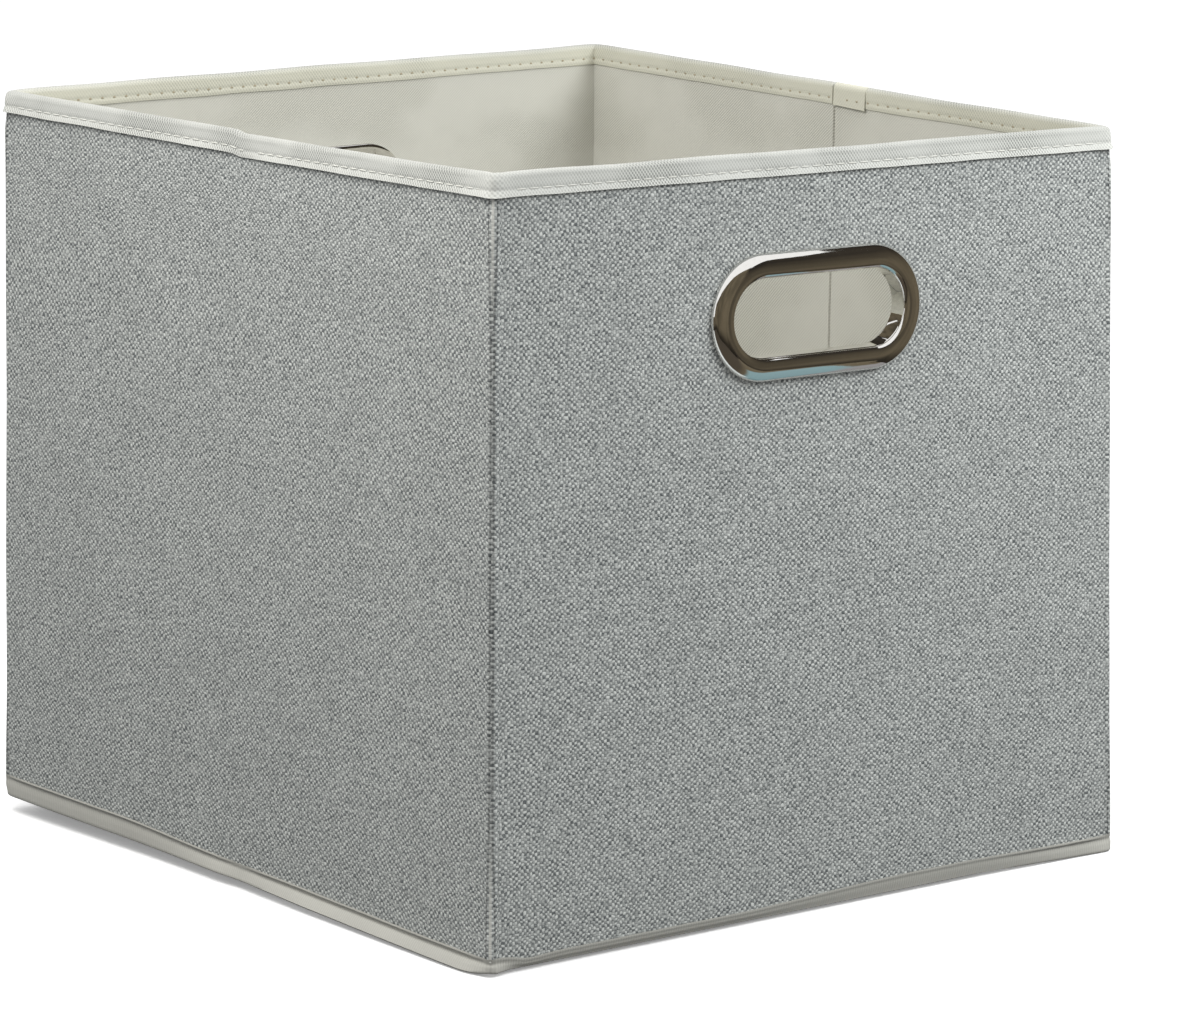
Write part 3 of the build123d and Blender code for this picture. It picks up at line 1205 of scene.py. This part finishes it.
def make_grips():
    """Each grip: a shallow bezel whose sleeve is curled over the ring inside."""
    inside = lining_face - cloth_skin
    back = inside - ring_thick
    tip = back - curl_thick
    throat_turn, edge_turn = 12, 27
    throat_round, throat_bow, throat_rise = flank(throat_turn, throat_width, flange_crest - throat_width)
    edge_round, edge_bow, edge_rise = flank(edge_turn, edge_width, flange_width - edge_width - flange_crest)
    crest = edge_rise + 0.1 * MM
    throat_level = crest - throat_rise
    bezel = arc((throat_round, throat_level), (throat_round, throat_round), 180, 90 + throat_turn, 8)
    bezel += arc((flange_crest, crest - throat_bow), (throat_bow, throat_bow), 90 + throat_turn, 90, 5)[1:]
    bezel += arc((flange_crest, crest - edge_bow), (edge_bow, edge_bow), 90, 90 - edge_turn, 8)[1:]
    bezel += arc((flange_width - edge_round, 0.1 * MM), (edge_round, edge_round), 90 - edge_turn, 0, 8)[1:]
    bezel += [(flange_width - 0.3 * MM, 0.0), (sleeve_thick, 0.0), (sleeve_thick, back + 0.4 * MM)]
    bezel += [(sleeve_thick + 0.3 * MM, back)]
    bezel += arc((curl_width, (back + tip) / 2), (0.3 * MM, curl_thick / 2), 90, -90, 6)
    bezel += arc((1.1 * MM, tip + 1.1 * MM), (1.1 * MM, 1.1 * MM), 270, 180, 6)
    flat_low, flat_high = sleeve_thick + 0.15 * MM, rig.box("front_grip_ring")[1].x
    flat_high -= grips["front"].half_run + grips["front"].radius
    ring = [(flat_low, inside), (flat_high, inside)]
    ring += arc((flat_high - 2.8 * MM, inside - 0.1 * MM), (2.8 * MM, ring_thick - 0.1 * MM), 0, -90, 8)
    ring += [(flat_low, back)]
    for grip in grips.values():
        for part, section in (("_grip_bezel", bezel), ("_grip_ring", ring)):
            obj = grip_ring(grip.name + part + "_metal", grip, section, chrome_look)
            stand_in(obj, grip.name + part, "chrome")
            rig.ride(obj, grip.body)


# Floor of the bin
def rounded_outline(half_x, half_y, radius, inset):
    """Points of a rounded rectangle, drawn in by an inset."""
    turn, run = 8, 24
    radius = max(radius - inset, 0.2 * MM)
    x, y = half_x - inset - radius, half_y - inset - radius
    found = []
    corners = ((1, 1), (-1, 1), (-1, -1), (1, -1))

    def turned(number, angle):
        side_x, side_y = corners[number % 4]
        return Vector((side_x * x + radius * cos(angle), side_y * y + radius * sin(angle), 0))

    for number in range(4):
        found += [turned(number, pi / 2 * (number + k / turn)) for k in range(turn + 1)]
        start, stop = found[-1], turned(number + 1, pi / 2 * (number + 1))
        found += [start.lerp(stop, k / run) for k in range(1, run)]
    return found


def pad_sheet(name, half, radius, insets, level_at, look, follow):
    """A flat sheet of nested outlines, each at its own height. The insets are in millimetres."""
    points, coords, faces = [], [], []
    for inset in insets:
        for p in rounded_outline(*half, radius, inset * MM):
            p.z = level_at(inset * MM, p)
            points.append(follow(p))
            coords.append((p.x / MM, p.y / MM))
    count = len(points) // len(insets)
    for r in range(len(insets) - 1):
        for k in range(count):
            a, b = r * count + k, r * count + (k + 1) % count
            faces.append((a, b, b + count, a + count))
    faces.append(tuple((len(insets) - 1) * count + k for k in range(count)))
    return mesh_object(name, points, faces, coords, look)


def rise_at_foot(p):
    """The base is warped up towards the lifted corner of the foot."""
    lift = settle(Vector((p.x, p.y, 0))).z
    edge_share = smooth(1 - (hinge_x - max(abs(p.x), abs(p.y))) / (70 * MM))
    return Vector((p.x, p.y, p.z + lift * edge_share))


def make_insert():
    """The loose base: a board between two glued covers, sewn round its edge."""
    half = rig.box("insert_top_cover")[1].xy
    insets = (0, 0.25, 0.7, 1.4, 3, 4.4, 5, 5.6, 7, 20, 60, 110)

    def top_level(inset, p):
        puff = 0.25 * MM * noise.noise(Vector((p.x / (60 * MM), p.y / (60 * MM), 4.4)))
        sewn = 0.25 * MM * bump(inset - insert_seam, 0.6 * MM)
        edge = 1.3 * MM * (1 - ease(inset, 1.6)) ** 1.5
        return insert_top - 0.3 * MM - sewn - edge + min(0, puff) * ease(inset, 20)

    def under_level(inset, p):
        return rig.box("insert_bottom_cover")[0].z + 0.25 * MM + 0.5 * MM * (1 - ease(inset, 1.2))

    for node, level in (("insert_top_cover", top_level), ("insert_bottom_cover", under_level)):
        obj = pad_sheet(node + "_sheet", half, insert_round, insets, level, insert_look, rise_at_foot)
        thicken(obj, 0.35 * MM)
        stand_in(obj, node, "nonwoven_lining")
        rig.sheet(obj, (2 * half.x, 2 * half.y), "stretched", rests_on=["insert_board"])
        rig.ride(obj, "base_insert")
    mesh = ([], [], [])
    outline = rounded_outline(*half, insert_round, insert_seam)
    for start, end in zip(outline, outline[1:] + outline[:1]):
        count = max(1, round((end - start).length / (4 * MM)))
        for k in range(count):
            a, b = start.lerp(end, (k + 0.15) / count), start.lerp(end, (k + 0.85) / count)
            a.z = b.z = insert_top - 0.3 * MM
            if (b - a).length > 0.6 * MM:
                capsule(mesh, rise_at_foot(a), rise_at_foot(b), 0.22 * MM, Vector((0, 0, 1)), 0.8)
    obj = mesh_object("insert_edge_stitching", *mesh, thread_look)
    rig.slot(obj, "nonwoven_lining")
    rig.ride(obj, "base_insert")
    low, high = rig.box("insert_board")
    obj = pad_sheet("insert_board_sheet", high.xy, insert_round, (0, 0.3, 3, 12, 30, 60, 110),
                    lambda inset, p: (low.z + high.z) / 2, board_look, rise_at_foot)
    thicken(obj, high.z - low.z)
    stand_in(obj, "insert_board", "greyboard")
    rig.ride(obj, "base_insert")


def make_bottom():
    """The cloth under the bin, sewn to the foot all round."""
    edge = hinge_x + 0.5 * MM
    insets = (0, 0.6, 1.4, 3, 6, 12, 30, 70, 120)

    def level(inset, p):
        return 0.35 * MM + 1.2 * MM * (1 - ease(inset, 1.5)) ** 2

    def follow(p):
        lifted = settle(p)
        return Vector((lifted.x, lifted.y, rise_at_foot(p).z))

    obj = pad_sheet("bottom_cloth_sheet", (edge, edge), 4 * MM, insets, level, cloth_look, follow)
    thicken(obj, 0.5 * MM)
    stand_in(obj, "bottom_cloth", "woven_cloth")
    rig.sheet(obj, (2 * edge, 2 * edge), "stretched", rests_on=["front_hem_binding_tape"])
    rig.ride(obj, "front_wall")
    folded_share = (2 * wall + bottom_slack) / (2 * (hinge_y + wall))
    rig.squash(obj, "fold_left_front", (0, 1, 0), (0, -hinge_y - wall, 0), keep=folded_share)


# Floor, lights and camera
def make_floor():
    """A wide pale floor that throws little light back up. Polished metal sees it pale close to the bin,
    blue-grey in a lobe before it, and dark elsewhere."""
    s = Shading("floor", roughness=0.9)
    from_camera, mirrored = s.rays()
    x, y, _ = s.split(s.node("NewGeometry", {}))
    lobe_side = s.minus(s.times(y, 0.6, x), 0.045)
    lobe = s.ramp(lobe_side, -0.004, 0.012, 1.0, 0.0)
    past_edge = s.math("ADD", s.times(lobe, 0.16, 0.33), y)
    in_lobe = s.times(s.ramp(past_edge, -0.02, 0.02), s.ramp(lobe_side, -0.19, -0.15))
    pale = s.blend(s.ramp(lobe_side, 0.0, 0.02), srgb(108, 132, 137), srgb(124, 122, 123))
    beside_bin = s.times(s.ramp(y, -0.27, -0.23), s.ramp(lobe_side, -0.16, -0.12, 1.0, 0.0))
    brown = s.blend(s.ramp(lobe_side, -0.24, -0.16), srgb(58, 51, 41), srgb(84, 75, 58))
    in_metal = s.blend(in_lobe, brown, pale)
    in_metal = s.blend(beside_bin, in_metal, srgb(196, 200, 200))
    plain = s.blend(from_camera, srgb(110, 110, 110), srgb(252, 252, 252))
    s.colour(s.blend(mirrored, plain, in_metal))
    s.set("Emission Color", (1, 1, 1, 1))
    s.set("Emission Strength", s.times(from_camera, 0.25))
    half = 6.0
    corners = [(-half, -half, 0), (half, -half, 0), (half, half, 0), (-half, half, 0)]
    obj = mesh_object("floor", corners, [(0, 1, 2, 3)], [(0, 0)] * 4, s.material)
    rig.stage(obj)


def make_surround():
    """A dark surround that shows only in polished metal, with white windows left in it: over the
    near and left screens, over the arched end of the right one, and as two slits."""
    s = Shading("surround", roughness=1.0)
    coords = s.solid_place()
    x, _, z = s.split(coords)
    low = s.blend(s.ramp(z, 0.02, 0.13), srgb(52, 46, 37), srgb(108, 98, 80))
    dark = s.times(s.ramp(z, 0.2, 0.42), s.ramp(x, 0.25, 0.3))
    tint = s.blend(dark, low, srgb(50, 44, 36))
    s.colour(s.dim(tint, s.ramp(s.noise(coords, 5.0), 0.35, 0.65, 0.75, 1.3)))
    left, right, near, far = -0.70, 0.31, -0.75, 0.75
    arch_end, arch_crown, arch_level, arch_foot, gap = 0.06, -0.17, 0.605, 0.48, 0.03
    panels = [((left, near, 0, 0.8), (right, near, 0, 0.5)),
              ((right, arch_end, 0, 1.0), (right, far, 0, 1.0)),
              ((right, far, 0, 0.80), (left, far, 0, 0.80)),
              ((right, far, 0.86, 1.4), (left, far, 0.86, 1.4)),
              ((left, far, 0, 1.2), (left, 0.10, 0, 1.2)),
              ((left, 0.10, 0, 0.25), (left, -0.35, 0, 0.25)),
              ((left, -0.35, 0, 0.5), (left, near, 0, 0.75))]
    steps = 14
    ends = [near + (arch_end - near) * k / steps for k in range(steps + 1)]
    tops = [max(arch_foot, arch_level - 1.8 * (y - arch_crown) ** 2) for y in ends]
    for k in range(steps):
        low_edge = gap if ends[k] < -0.42 else 0
        panels.append(((right, ends[k], low_edge, tops[k]), (right, ends[k + 1], low_edge, tops[k + 1])))
    points, faces = [], []
    for (x0, y0, foot0, top0), (x1, y1, foot1, top1) in panels:
        faces.append(tuple(len(points) + k for k in range(4)))
        points += [(x0, y0, foot0), (x1, y1, foot1), (x1, y1, top1), (x0, y0, top0)]
    obj = mesh_object("surround", points, faces, [(0, 0)] * len(points), s.material)
    for kind in ("camera", "diffuse", "transmission", "volume_scatter", "shadow"):
        setattr(obj, "visible_" + kind, False)
    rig.stage(obj)


def make_light(name, place, aim, size, power, tint):
    lamp = bpy.data.lights.new(name, "AREA")
    lamp.shape = "DISK"
    lamp.size = size
    lamp.energy = power
    lamp.color = tint
    obj = add_object(name, lamp)
    obj.location = place
    obj.rotation_euler = (Vector(aim) - Vector(place)).to_track_quat("-Z", "Y").to_euler()
    obj.visible_glossy = False
    obj.visible_camera = False


def make_world():
    """Even pale light from all round, brighter from above, and a white background."""
    world = bpy.data.worlds.new("studio")
    bpy.context.scene.world = world
    world.use_nodes = True
    s = Nodes(world.node_tree)
    ground = s.tree.nodes["Background"].inputs
    s.feed(ground["Color"], (1, 1, 1, 1))
    up = s.split(s.node("TexCoord", {}))[2]
    rise = s.node("MapRange", {0: up, 1: 0.0, 2: 0.9, 3: 0.41, 4: 1.03})
    s.feed(ground["Strength"], s.mix(s.math("MAXIMUM", *s.rays()), rise, 1.0))


def make_camera():
    """The photograph's viewpoint. Its frame is 1201 by 1010 pixels, seen through a long lens."""
    frame_width, focal_pixels = 1201, 5785
    azimuth, elevation, roll = [radians(a) for a in (-40.42, 11.02, 0.92)]
    distance, aside, above = 2.370, 0.0210, -0.0144
    level = cos(elevation)
    back = Vector((sin(azimuth) * level, -cos(azimuth) * level, sin(elevation)))
    right = Vector((cos(azimuth), sin(azimuth), 0))
    up = back.cross(right)
    data = bpy.data.cameras.new("camera")
    data.sensor_width = 36
    data.lens = focal_pixels / frame_width * data.sensor_width
    data.clip_end = 50
    obj = add_object("camera", data)
    obj.location = Vector((0, 0, height / 2)) + right * aside + up * above + back * distance
    level_right = right * cos(roll) + up * sin(roll)
    level_up = up * cos(roll) - right * sin(roll)
    obj.rotation_euler = Matrix((level_right, level_up, back)).transposed().to_euler()
    bpy.context.scene.camera = obj


make_layers()
make_boards()
make_rim()
make_lap()
make_fold_seams()
make_hem()
make_grips()
make_insert()
make_bottom()
make_floor()
make_surround()
make_world()
make_light("left", (-0.45, -0.03, 0.75), (-0.157, 0, 0.25), 0.45, 3.4, (1.0, 0.99, 0.97))
make_light("front", (0.42, -0.62, 0.75), (0.10, -0.157, 0.20), 0.45, 5.4, (0.97, 0.99, 1.0))
make_camera()
bpy.context.scene.view_settings.view_transform = "Standard"

sizes = {"cad": [list(c) for c in cad_box], "visual": [list(c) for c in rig.bounds()]}
with open("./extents.json", "w") as report:
    json.dump(sizes, report)
